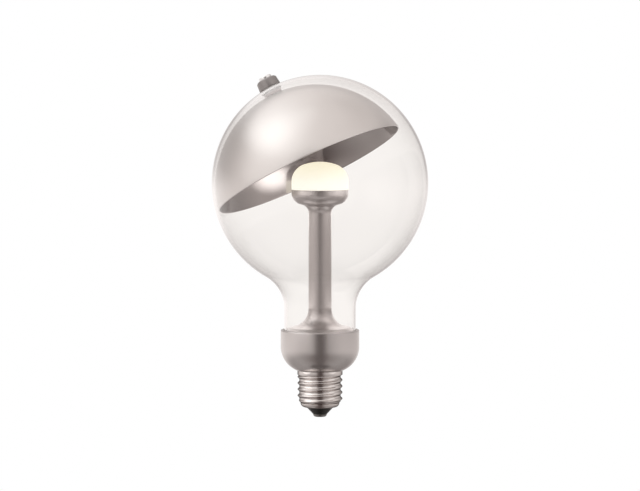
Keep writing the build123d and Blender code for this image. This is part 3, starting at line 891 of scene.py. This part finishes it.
@dataclass
class ScrewCap(SubAssembly):
    """Nickel screw shell with a rolled thread, dark insulator and tinned contact."""

    skirt_r: float = 13.1
    skirt_z: float = 24.6
    top_z: float = 27.0
    taper: float = 0.6
    taper_rows: int = 8
    crest_r: float = 13.05
    root_r: float = 12.0
    root_play: float = 0.2           # walls further inside the root than this have no thread
    pitch: float = 25.4 / 7
    mark_z: float = 10.24            # a crest of the thread at angle 0
    run_out: float = 1.2
    sharpness: float = 1.7
    row: float = 0.085               # height of a row of faces on the thread
    groove_r: float = 11.3
    groove_rise: float = 0.9
    score: float = 0.35              # line scored between the lip and the thread
    lip: float = 2.4
    lip_r: float = 9.5
    lip_z: float = 5.7
    lip_points: int = 14
    wall: float = 0.5
    brow_r: float = 7.7
    brow_drop: float = 0.4
    brow_round: float = 1.6
    contact_r: float = 4.1
    contact_z: float = 1.5
    tip_r: float = 3.2
    tip_chamfer: float = 0.6
    shank_r: float = 1.5
    inset: float = 2.0
    shank_proud: float = 0.6
    shell_segments: int = 240
    shell_crease: float = 50.0
    glaze_segments: int = 128
    contact_segments: int = 96

    @property
    def lip_top_z(self) -> float:
        """Height of the centre of the turned-in lip's round."""
        return self.lip_z + math.sqrt(self.lip**2 - (self.lip_r - self.groove_r + self.lip) ** 2)

    @property
    def thread_z(self) -> float:
        """Height at which the thread rises out of the shell."""
        return self.lip_top_z + self.groove_rise

    @property
    def bore_r(self) -> float:
        """Inside radius of the shell."""
        return self.groove_r - self.wall

    def thread(self, angle: float, r: float, z: float) -> float:
        """Radius of the shell with its rolled right-hand thread.

        Args:
            angle: Angle round the axis.
            r: Radius of the plain shell.
            z: Height.

        Returns:
            Radius of the threaded shell.
        """
        if not self.thread_z < z < self.skirt_z or r < self.root_r - self.root_play:
            return r
        turns = (z - self.mark_z) / self.pitch - angle / (2 * math.pi)
        ridge = (0.5 + 0.5 * math.cos(2 * math.pi * turns)) ** self.sharpness
        rise = min(1.0, (z - self.thread_z) / self.run_out)
        return max(r, self.root_r + (self.crest_r - self.root_r) * ridge * rise)

    def build(self) -> list[Piece]:
        """Builds the shell, the insulator and the contact."""
        return [self._shell(), self._insulator(), self._contact()]

    def _shell(self) -> Piece:
        """Builds the screw shell.

        Returns:
            The piece.
        """
        low_z = self.thread_z
        high_z = self.skirt_z - self.taper
        reach = math.degrees(math.asin((self.lip_top_z - self.lip_z) / self.lip))
        lip = arc((self.groove_r - self.lip, self.lip_top_z), self.lip, -reach, 0, self.lip_points)
        lip.append((self.groove_r - self.score, self.lip_top_z + self.score / 2, Edge.HAIR))
        lip.append((self.groove_r + self.score, self.lip_top_z + 1.5 * self.score, Edge.CRISP))
        rows = math.ceil((high_z - low_z) / self.row)
        barrel = [(self.root_r, low_z + (high_z - low_z) * n / rows) for n in range(rows + 1)]
        barrel[0] = (self.root_r, low_z, Edge.WORN)
        rise = []
        for number in range(1, self.taper_rows + 1):
            part = number / self.taper_rows
            r = self.root_r + (self.skirt_r - self.root_r) * (0.5 - 0.5 * math.cos(math.pi * part))
            rise.append((r, high_z + self.taper * part))
        corners = [
            *lip, *barrel, *rise, (self.skirt_r, self.top_z, Edge.BROKEN),
            (self.bore_r, self.top_z, Edge.CRISP), (self.bore_r, self.lip_top_z),
            (self.lip_r, self.lip_z + self.wall),
        ]
        piece = turn(
            "cap_shell", rounded(corners), self.shell_segments, warp=self.thread, crease=self.shell_crease)
        return self.fit(piece, Body.BULB, "screw_shell", "nickel", ROLLED_NICKEL)

    def _insulator(self) -> Piece:
        """Builds the insulator.

        Returns:
            The piece.
        """
        top_z = self.lip_top_z + self.inset
        corners = [
            (self.shank_r, self.contact_z), (self.contact_r, self.contact_z, Edge.EASED),
            (self.brow_r, self.lip_z - self.brow_drop, self.brow_round), (self.lip_r, self.lip_z, Edge.CRISP),
            (self.lip_r, self.lip_z + self.wall), (self.bore_r, self.lip_top_z),
            (self.bore_r, top_z, Edge.SOFT), (self.shank_r, top_z),
        ]
        piece = turn("cap_glaze", rounded(corners), self.glaze_segments)
        return self.fit(piece, Body.BULB, "cap_insulator", "black_insulator", BLACK_GLAZE)

    def _contact(self) -> Piece:
        """Builds the centre contact.

        Returns:
            The piece.
        """
        shank_z = self.lip_top_z + self.inset + self.shank_proud
        corners = [
            (0.0, 0.0), (self.tip_r, 0.0, Edge.ROUND),
            (self.tip_r + self.tip_chamfer, self.tip_chamfer, Edge.SOFT),
            (self.contact_r, self.contact_z, Edge.FINE), (self.shank_r, self.contact_z),
            (self.shank_r, shank_z, Edge.WORN), (0.0, shank_z),
        ]
        piece = turn("cap_contact", rounded(corners), self.contact_segments)
        return self.fit(piece, Body.BULB, "centre_contact", "tinned_contact", TINNED_CONTACT)


@dataclass
class LightStem(SubAssembly):
    """Turned stem with a flared foot and a bowl-shaped head, and the lit opal cap on it."""

    column_r: float = 6.65
    bore_r: float = 4.0
    foot_r: float = 19.4
    foot_z: float = 52.0
    edge_z: float = 50.5             # edge of the foot, out of sight behind the collar's rim
    shelf_z: float = 42.6
    foot_fillet: float = 11.0
    foot_wall: float = 2.2
    foot_points: int = 24
    head_r: float = 16.45
    head_round: float = 6.6
    head_straight: float = 2.1
    head_fillet: float = 5.2
    head_rim: float = 1.2
    head_points: int = 18
    neck_points: int = 16
    joint_z: float = 131.801
    recess: float = 3.4
    cap_straight: float = 4.5
    cap_shoulder: float = 10.5
    cap_crown: float = 29.0
    cap_wall: float = 1.2
    cap_spigot: float = 1.9
    cap_fit: float = 0.1
    shoulder_points: int = 32
    crown_points: int = 12
    stem_segments: int = 144
    cap_segments: int = 128

    @property
    def recess_r(self) -> float:
        """Radius of the recess in the head."""
        return self.head_r - self.head_rim

    def build(self) -> list[Piece]:
        """Builds the stem and the opal cap."""
        return [self._stem(), self._cap()]

    def _stem(self) -> Piece:
        """Builds the stem.

        Returns:
            The piece.
        """
        recess_z = self.joint_z - self.recess
        round_r = self.head_r - self.head_round
        round_z = self.joint_z - self.head_straight
        neck_r = self.column_r + self.head_fillet
        neck_z = round_z - math.sqrt((self.head_round + self.head_fillet) ** 2 - (neck_r - round_r) ** 2)
        lean = math.degrees(math.atan2(round_z - neck_z, neck_r - round_r))
        foot_centre = (self.column_r + self.foot_fillet, self.foot_z + self.foot_fillet)
        foot = arc(foot_centre, self.foot_fillet, 270, 180, self.foot_points)
        neck = arc((neck_r, neck_z), self.head_fillet, 180, 180 - lean, self.neck_points)
        head = arc((round_r, round_z), self.head_round, -lean, 0, self.head_points)
        ceiling_z = self.edge_z - self.foot_wall
        skirt_r = self.foot_r - self.foot_wall
        corners = [
            (self.foot_r, self.edge_z, Edge.WORN), *foot, *neck, *head[1:],
            (self.head_r, self.joint_z, Edge.EASED), (self.recess_r, self.joint_z, Edge.CRISP),
            (self.recess_r, recess_z, Edge.FINE), (self.bore_r, recess_z, Edge.WORN),
            (self.bore_r, ceiling_z, Edge.WORN), (skirt_r, ceiling_z, Edge.ROUND),
            (skirt_r, self.shelf_z, Edge.FINE), (self.foot_r, self.shelf_z, Edge.FINE),
        ]
        piece = turn("stem_turning", rounded(corners), self.stem_segments)
        return self.fit(piece, Body.BULB, "stem_column", "satin_stem", SHADED_SATIN_STEM)

    def _cap_line(self, depth: float) -> list[Corner]:
        """Shoulder and crown of the opal cap.

        Args:
            depth: Distance inside the outer surface.

        Returns:
            Corners from the wall up to the axis.
        """
        shoulder_r = self.head_r - self.cap_shoulder
        shoulder_z = self.joint_z + self.cap_straight
        drop = math.sqrt((self.cap_crown - self.cap_shoulder) ** 2 - shoulder_r**2)
        lean = math.degrees(math.atan2(drop, shoulder_r))
        shoulder = arc((shoulder_r, shoulder_z), self.cap_shoulder - depth, 0, lean, self.shoulder_points)
        crown = arc((0, shoulder_z - drop), self.cap_crown - depth, lean, 90, self.crown_points)
        crown[-1] = (0.0, shoulder_z - drop + self.cap_crown - depth)
        return shoulder + crown[1:]

    def _cap(self) -> Piece:
        """Builds the opal cap.

        Returns:
            The piece.
        """
        depth = self.head_rim + self.cap_fit + self.cap_wall
        spigot_r = self.recess_r - self.cap_fit
        spigot_z = self.joint_z - self.cap_spigot
        corners = [
            (self.head_r - depth, spigot_z, Edge.FINE), (spigot_r, spigot_z, Edge.FINE),
            (spigot_r, self.joint_z), (self.head_r, self.joint_z, Edge.FINE),
            *self._cap_line(0), *self._cap_line(depth)[::-1],
        ]
        piece = turn("opal_cap", rounded(corners), self.cap_segments)
        return self.fit(piece, Body.BULB, "light_diffuser", "opal", OpalGlow())


@dataclass
class MagnetLine:
    """Line through the globe's centre on which the two magnets face each other."""

    globe: GlassGlobe
    tilt: float = 29.5
    droop: float = 2.426             # how far the dome leans off the line
    running_gap: float = 0.25
    pad: float = 0.5

    @property
    def frame(self) -> Matrix:
        """Frame at the globe's centre with its Z axis along the line."""
        lean = Matrix.Rotation(math.radians(-self.tilt), 4, "Y")
        return Matrix.Translation((0, 0, self.globe.centre_z)) @ lean

    @property
    def dome_frame(self) -> Matrix:
        """Frame of the dome, which hangs from the glass at the magnet and leans over.

        Returns:
            The frame.
        """
        hang = Matrix.Translation((0, 0, self.globe.inner_r))
        lean = Matrix.Rotation(math.radians(self.droop), 4, "Y")
        return self.frame @ hang @ lean @ hang.inverted()


@dataclass
class MirrorReflector(SubAssembly):
    """Mirror dome with the pale magnet holder on its crown."""

    line: MagnetLine
    dome_r: float = 58.3
    wall: float = 0.7
    rim_height: float = 9.7
    hole_r: float = 1.6
    holder_r: float = 5.67
    holder_foot_r: float = 4.95
    holder_gap: float = 0.7
    pocket_r: float = 3.55
    magnet: float = 1.4
    head_r: float = 2.8
    head: float = 0.8
    play: float = 0.05               # room round the magnet, and overlap at the staked joint
    dome_points: int = 72
    dome_segments: int = 168
    dome_crease: float = 50.0
    holder_segments: int = 96

    @property
    def inner_r(self) -> float:
        """Inside radius of the dome."""
        return self.dome_r - self.wall

    def build(self) -> list[Piece]:
        """Builds the dome and the holder."""
        return [self._dome(), self._holder()]

    def _wall_line(self, radius: float) -> list[Corner]:
        """One side of the dome's wall.

        Args:
            radius: Radius of that side.

        Returns:
            Corners from the rim up to the hole.
        """
        rim = math.degrees(math.asin(self.rim_height / radius))
        hole = math.degrees(math.acos(self.hole_r / radius))
        side = arc((0, 0), radius, rim, hole, self.dome_points)
        side[0] = (*side[0], Edge.EASED)
        return side

    def _dome(self) -> Piece:
        """Builds the dome, frosted outside and mirrored inside.

        Returns:
            The piece.
        """
        section = rounded(self._wall_line(self.dome_r) + self._wall_line(self.inner_r)[::-1])
        middle = self.dome_r - self.wall / 2
        piece = turn(
            "reflector_shade", section, self.dome_segments, self.line.dome_frame,
            slot_of=lambda r, z: int(math.hypot(r, z) < middle), crease=self.dome_crease,
        )
        return self.fit(
            piece, Body.REFLECTOR, "reflector_dome", "satin_reflector", FROSTED_SILVER, MIRROR_COAT)

    def _holder(self) -> Piece:
        """Builds the magnet holder, staked through the crown of the dome.

        Returns:
            The piece.
        """
        edge = self.line.globe.inner_r - self.line.running_gap - self.line.pad
        floor_z = math.sqrt(edge**2 - (self.pocket_r - self.play) ** 2) - self.magnet
        neck_r = self.holder_foot_r - self.holder_gap
        crown_z = math.sqrt(self.dome_r**2 - neck_r**2)
        stake_z = self.inner_r - self.play
        corners = [
            (0.0, floor_z), (self.pocket_r, floor_z),
            (self.pocket_r, math.sqrt(edge**2 - self.pocket_r**2), Edge.CRISP),
            (self.holder_r, math.sqrt(edge**2 - self.holder_r**2), Edge.FULL),
            (self.holder_foot_r, crown_z + self.holder_gap, Edge.CRISP),
            (neck_r, crown_z + self.holder_gap), (neck_r, crown_z - self.play),
            (self.hole_r, self.dome_r - self.play), (self.hole_r, stake_z),
            (self.head_r, stake_z, Edge.CRISP), (self.head_r, self.inner_r - self.head, Edge.SOFT),
            (0.0, self.inner_r - self.head),
        ]
        piece = turn("holder_cup", rounded(corners), self.holder_segments, self.line.frame)
        return self.fit(piece, Body.REFLECTOR, "magnet_holder", "pale_holder", PALE_HOLDER)


@dataclass
class MagnetKnob(SubAssembly):
    """Dark knob outside the glass with a bright button on top."""

    line: MagnetLine
    radius: float = 6.62
    top_r: float = 6.15
    height: float = 5.2
    chamfer: float = 0.7
    pocket_r: float = 4.05
    pocket: float = 2.2
    shank_r: float = 1.3
    shank: float = 1.3
    button_r: float = 3.9
    button: float = 1.9
    button_round: float = 0.65
    knob_segments: int = 112
    button_segments: int = 96

    @property
    def foot(self) -> float:
        """Distance from the globe's centre to the knob's underside."""
        return self.line.globe.radius + self.line.running_gap + self.line.pad

    @property
    def top(self) -> float:
        """Distance from the globe's centre to the knob's top."""
        return self.foot + self.height

    def build(self) -> list[Piece]:
        """Builds the knob and its button."""
        return [self._knob(), self._button()]

    def _knob(self) -> Piece:
        """Builds the knob.

        Returns:
            The piece.
        """
        ceiling = self.foot + self.pocket
        corners = [
            (self.shank_r, ceiling), (self.pocket_r, ceiling),
            (self.pocket_r, math.sqrt(self.foot**2 - self.pocket_r**2), Edge.CRISP),
            (self.radius, math.sqrt(self.foot**2 - self.radius**2), Edge.WORN),
            (self.top_r, self.top - self.chamfer, Edge.EASED),
            (self.top_r - self.chamfer, self.top, Edge.EASED), (self.shank_r, self.top),
        ]
        piece = turn("knob_turning", rounded(corners), self.knob_segments, self.line.frame)
        return self.fit(piece, Body.KNOB, "knob_body", "dark_knob", DARK_KNOB)

    def _button(self) -> Piece:
        """Builds the button.

        Returns:
            The piece.
        """
        low = self.top - self.shank
        high = self.top + self.button
        corners = [
            (0.0, low), (self.shank_r, low, Edge.CRISP), (self.shank_r, self.top),
            (self.button_r, self.top, Edge.CRISP), (self.button_r, high, self.button_round),
            (0.0, high),
        ]
        piece = turn("knob_cap", rounded(corners), self.button_segments, self.line.frame)
        return self.fit(piece, Body.KNOB, "knob_button", "bright_button", BRIGHT_CHROME)


@dataclass
class HiddenParts(SubAssembly):
    """Solids that keep their own shape: LED board, driver, leads, cement, magnets and pads."""

    nodes: dict[str, bpy.types.Object]

    def build(self) -> list[Piece]:
        """Gives each solid its finish.

        Returns:
            The solids.
        """
        for name, finish in HIDDEN_FINISHES.items():
            material = finish.material(self.effects)
            for slot in self.nodes[name].material_slots:
                slot.material = material
        return [self.nodes[name] for name in HIDDEN_FINISHES]


# Studio


@dataclass(frozen=True)
class LightRing:
    """How bright polished pieces see the studio all the way round, between two heights in degrees."""

    low: float
    high: float
    levels: tuple[Point, ...]


# Angles are degrees to the right of the camera, seen from the lamp
STUDIO_RINGS = (
    LightRing(-90, -80, ((-180, 0.09), (180, 0.09))),
    LightRing(-68, -40, (
        (-180, 0.18), (-168, 0.3), (-150, 0.38), (-110, 0.42), (-86, 0.46), (-60, 0.38), (-40, 0.3),
        (-22, 0.19), (-10, 0.12), (0, 0.1), (10, 0.11), (22, 0.18), (34, 0.31), (60, 0.38), (90, 0.44),
        (113, 0.38), (150, 0.32), (168, 0.26), (180, 0.18))),
    LightRing(-9, -6, (
        (-180, 1.05), (-144, 1.02), (-106, 0.93), (-80, 0.83), (-60, 0.69), (-40, 0.62), (-28, 0.56),
        (-19, 0.46), (-11, 0.17), (0, 0.09), (9, 0.1), (15, 0.22), (24, 0.44), (31, 0.52), (45, 0.61),
        (61, 0.7), (80, 0.73), (140, 0.74), (160, 0.9), (180, 1.05))),
    LightRing(8, 24, (
        (-180, 0.6), (-150, 0.5), (-124, 0.52), (-103, 0.73), (-86, 1.05), (-71, 1.14), (-45, 1.1),
        (-30, 0.95), (-20, 0.55), (-11, 0.15), (0, 0.08), (11, 0.15), (22, 0.5), (40, 0.62), (70, 0.62),
        (105, 0.4), (130, 0.4), (150, 0.6), (180, 0.6))),
    LightRing(42, 56, (
        (-180, 0.98), (-155, 1.12), (-133, 1.25), (-110, 1.5), (-85, 1.72), (-62, 1.68), (-34, 1.27),
        (-8, 1.03), (26, 0.96), (58, 0.92), (100, 0.82), (150, 0.74), (180, 0.98))),
    LightRing(78, 90, (
        (-180, 0.98), (-130, 1.15), (-90, 1.4), (-45, 1.2), (0, 0.98), (90, 0.95), (180, 0.98))),
)


@dataclass(frozen=True)
class SoftLamp:
    """Large soft lamp that faces the globe, from a direction as the camera sees it."""

    name: str
    right: float
    up: float
    front: float
    distance: float
    size: float
    power: float


SOFT_LAMPS = (
    SoftLamp("key", -0.69, 0.74, 0.35, 1.5, 0.9, 5.5),
    SoftLamp("fill", 0.8, 0.35, 0.75, 1.6, 0.8, 2.2),
)


@dataclass(frozen=True)
class GlowCard:
    """Glowing card near the lamp for one of its pieces."""

    name: str
    piece: str
    right: float
    front: float
    up: float
    aim_z: float
    width: float
    height: float
    level: float
    aim_right: float = 0.0
    soft: bool = False

    def twin(self, level: float) -> GlowCard:
        """The same card on the right of the lamp, with a level of its own."""
        name = self.name.replace("left", "right")
        return replace(self, name=name, right=-self.right, aim_right=-self.aim_right, level=level)


# Small cards that fit the tones of single pieces, each lighting its own piece only
OVER = GlowCard("over_left", "stem_turning", -0.24, 0.02, 0.22, 0.056, 0.3, 0.22, 0.45)
BOUNCE = GlowCard("bounce_left", "stem_turning", -0.045, 0.0, 0.12, 0.055, 0.09, 0.05, 0.26)
HEAD = GlowCard("head_left", "stem_turning", -0.05, 0.025, 0.132, 0.132, 0.11, 0.02, 1.3)
UNDER = GlowCard("under_left", "stem_turning", -0.034, 0.0, 0.063, 0.125, 0.052, 0.052, 0.85, -0.034)
GLOW_CARDS = (
    OVER,
    OVER.twin(0.45),
    GlowCard("over_back", "stem_turning", 0.0, -0.3, 0.17, 0.056, 0.9, 0.2, 1.1),
    BOUNCE,
    BOUNCE.twin(0.15),
    GlowCard("bounce_back", "stem_turning", 0.0, -0.045, 0.112, 0.05, 0.085, 0.04, 1.3),
    HEAD,
    HEAD.twin(1.05),
    UNDER,
    UNDER.twin(0.8),
    GlowCard("under_front", "stem_turning", 0.0, 0.25, -0.06, 0.125, 0.5, 0.14, 0.8),
    GlowCard("window", "reflector_shade", 0.222, 0.1395, 0.1005, 0.136, 0.42, 0.2, 1.7, soft=True),
    GlowCard("side_right", "cap_shell", 0.25, 0.11, 0.06, 0.02, 0.26, 0.2, 0.3),
    GlowCard("side_left", "cap_shell", -0.28, 0.09, 0.06, 0.02, 0.3, 0.24, 0.5),
)


def share(value: float, start: float, end: float) -> float:
    """How far a value is on its way from a start to an end, from 0 to 1."""
    return min(1.0, max(0.0, (value - start) / (end - start)))


def face(thing: bpy.types.Object, place: Vector, aim: Vector) -> None:
    """Stands a lamp or camera at a place and turns it to an aim.

    Args:
        thing: The lamp or camera.
        place: Where it stands.
        aim: What it faces.
    """
    thing.location = place
    thing.rotation_mode = "QUATERNION"
    thing.rotation_quaternion = (aim - place).to_track_quat("-Z", "Y")


@dataclass
class Studio:
    """Camera, lamps, surround and floor."""

    effects: Effects
    azimuth: float = 21.5
    distance: float = 1.56
    eye_z: float = 0.2004
    aim_z: float = 0.0994
    view_width: float = 0.3693
    sensor_mm: float = 36.0
    far_clip: float = 50.0
    lamp_aim_z: float = 0.12
    floor_z: float = -0.3
    floor_r: float = 1.2
    floor_sides: int = 96
    soft_level: float = 0.62         # surround as dull surfaces see it
    warm: Colour = (1.0, 0.94, 0.92)
    deep: Colour = (1.0, 0.8, 0.76)
    warm_levels: Point = (0.4, 0.8)  # rings between these levels have the warm tint
    deep_level: float = 0.1          # darker rings turn to the deep tint down to this level
    white_level: float = 1.5         # and brighter ones to white up to this
    card_edge: float = 0.5           # a soft card is dark this far from its middle, as a share of its width
    card_heart: float = 0.1          # and full bright inside this

    @property
    def front(self) -> Vector:
        """Level direction from the lamp to the camera."""
        turned = math.radians(self.azimuth)
        return Vector((math.sin(turned), -math.cos(turned), 0.0))

    @property
    def right(self) -> Vector:
        """Level direction to the right of the picture."""
        turned = math.radians(self.azimuth)
        return Vector((math.cos(turned), math.sin(turned), 0.0))

    def spot(self, right: float, front: float, up: float) -> Vector:
        """Place or direction given as the camera sees it."""
        return self.right * right + self.front * front + Vector((0, 0, up))

    def build(self) -> None:
        """Sets the camera, the surround, the lamps and the floor."""
        bpy.context.scene.view_settings.view_transform = "Standard"
        self._camera()
        self._surround()
        for lamp in SOFT_LAMPS:
            self._lamp(lamp)
        for card in GLOW_CARDS:
            self._card(card)
        self._floor()

    def _camera(self) -> None:
        """Sets the camera above the lamp's middle, looking slightly down."""
        data = bpy.data.cameras.new("camera")
        data.sensor_width = self.sensor_mm
        data.lens = self.sensor_mm * self.distance / self.view_width
        data.clip_end = self.far_clip
        camera = stand("camera", data)
        face(camera, self.spot(0, self.distance, self.eye_z), Vector((0, 0, self.aim_z)))
        bpy.context.scene.camera = camera

    def _lamp(self, lamp: SoftLamp) -> None:
        """Adds a soft lamp.

        Args:
            lamp: The lamp.
        """
        data = bpy.data.lights.new(lamp.name, "AREA")
        data.shape = "SQUARE"
        data.size = lamp.size
        data.energy = lamp.power
        aim = Vector((0, 0, self.lamp_aim_z))
        way = self.spot(lamp.right, lamp.front, lamp.up).normalized()
        made = stand(lamp.name, data)
        face(made, aim + way * lamp.distance, aim)
        made.visible_glossy = False

    def _card(self, card: GlowCard) -> None:
        """Adds a card that lights only its own piece.

        Args:
            card: The card.
        """
        data = bpy.data.lights.new(card.name, "AREA")
        data.shape = "ELLIPSE"
        data.size = card.width
        data.size_y = card.height
        data.energy = card.level * math.pi**2 / 4 * card.width * card.height
        if card.soft:
            self._soften(data)
        made = stand(card.name, data)
        face(made, self.spot(card.right, card.front, card.up), self.spot(card.aim_right, 0, card.aim_z))
        made.visible_camera = False
        lit = bpy.data.collections.new(f"{card.name}_lit")
        lit.objects.link(bpy.data.objects[card.piece])
        made.light_linking.receiver_collection = lit

    def _soften(self, data: bpy.types.Light) -> None:
        """Lets a card fade from its middle to its edge.

        Args:
            data: Lamp of the card.
        """
        board = NodeBoard.of(data)
        ends = {0: board.add("ShaderNodeNewGeometry")["Parametric"], 1: (0.5, 0.5, 0.0)}
        away = board.add("ShaderNodeVectorMath", ends, operation="DISTANCE")["Value"]
        fade = board.ease(away, self.card_edge, self.card_heart)
        board.show(board.add("ShaderNodeEmission", {"Strength": fade})[0], "Light")

    def _panels(self, board: NodeBoard) -> Socket:
        """Soft panels of the studio, as polished pieces see them.

        Args:
            board: Node tree of the surround.

        Returns:
            Colour of the surround in a direction.
        """
        way = board.add("ShaderNodeTexCoord")["Generated"]
        height = board.axis(way, 2)
        shares = []
        for axis in (self.right, self.front):
            dot = board.add("ShaderNodeVectorMath", {0: way, 1: axis}, operation="DOT_PRODUCT")
            shares.append(dot["Value"])
        turned = board.math("ARCTAN2", *shares)
        tone: object = None
        before = 0.0
        for ring in STUDIO_RINGS:
            level = self._ring(board, turned, ring)
            low = math.sin(math.radians(ring.low))
            tone = board.blend("MIX", board.ease(height, before, low), tone, level) if tone else level
            before = math.sin(math.radians(ring.high))
        return tone

    def _ring(self, board: NodeBoard, turned: Socket, ring: LightRing) -> Socket:
        """Adds one ring of light.

        Args:
            board: Node tree of the surround.
            turned: Angle to the right of the camera, in radians.
            ring: The ring.

        Returns:
            Colour of the ring at that angle.
        """
        part = board.math("MULTIPLY_ADD", turned, 1 / (2 * math.pi), 0.5)
        tone = board.add("ShaderNodeValToRGB", {0: part})[0]
        ramp = tone.node.color_ramp
        while len(ramp.elements) < len(ring.levels):
            ramp.elements.new(0.5)
        low, high = self.warm_levels
        for element, (angle, level) in zip(ramp.elements, ring.levels):
            tint = Vector(self.warm).lerp(Vector(self.deep), share(level, low, self.deep_level))
            tint = tint.lerp(Vector(WHITE), share(level, high, self.white_level))
            element.position = angle / 360 + 0.5
            element.color = (*(level * tint), 1.0)
        return tone

    def _surround(self) -> None:
        """Sets a white surround in which polished pieces see soft panels and a dark gap in front."""
        world = bpy.data.worlds.new("surround")
        bpy.context.scene.world = world
        board = NodeBoard.of(world)
        path = board.add("ShaderNodeLightPath")
        tone = board.blend("MIX", path["Is Glossy Ray"], (self.soft_level,) * 3, self._panels(board))
        seen = board.math("MAXIMUM", path["Is Camera Ray"], path["Is Transmission Ray"])
        sky = {"Color": board.blend("MIX", seen, tone, WHITE), "Strength": 1.0}
        board.show(board.add("ShaderNodeBackground", sky)[0], "World")

    def _floor(self) -> None:
        """Adds a plain pale floor below the lamp."""
        rim = []
        for number in range(self.floor_sides):
            angle = 2 * math.pi * number / self.floor_sides
            rim.append((self.floor_r * math.cos(angle), self.floor_r * math.sin(angle), self.floor_z))
        mesh = bpy.data.meshes.new("floor")
        mesh.from_pydata(rim, [], [list(range(self.floor_sides))])
        mesh.materials.append(PaleFloor().material(self.effects))
        floor = stand("floor", mesh)
        floor.visible_glossy = False


def main() -> None:
    """Builds the lamp's looks round its solids."""
    logging.basicConfig(level=logging.INFO, format="%(name)s %(message)s")
    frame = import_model()
    effects = Effects()
    globe = GlassGlobe(effects)
    line = MagnetLine(globe)
    assemblies = (
        globe, BaseCollar(effects), ScrewCap(effects), LightStem(effects), MirrorReflector(effects, line),
        MagnetKnob(effects, line), HiddenParts(effects, frame["nodes"]),
    )
    for assembly in assemblies:
        for piece in assembly.build():
            LOG.info("%s: %d faces", piece.name, len(piece.data.polygons))
    Studio(effects).build()


if __name__ == "__main__":
    main()
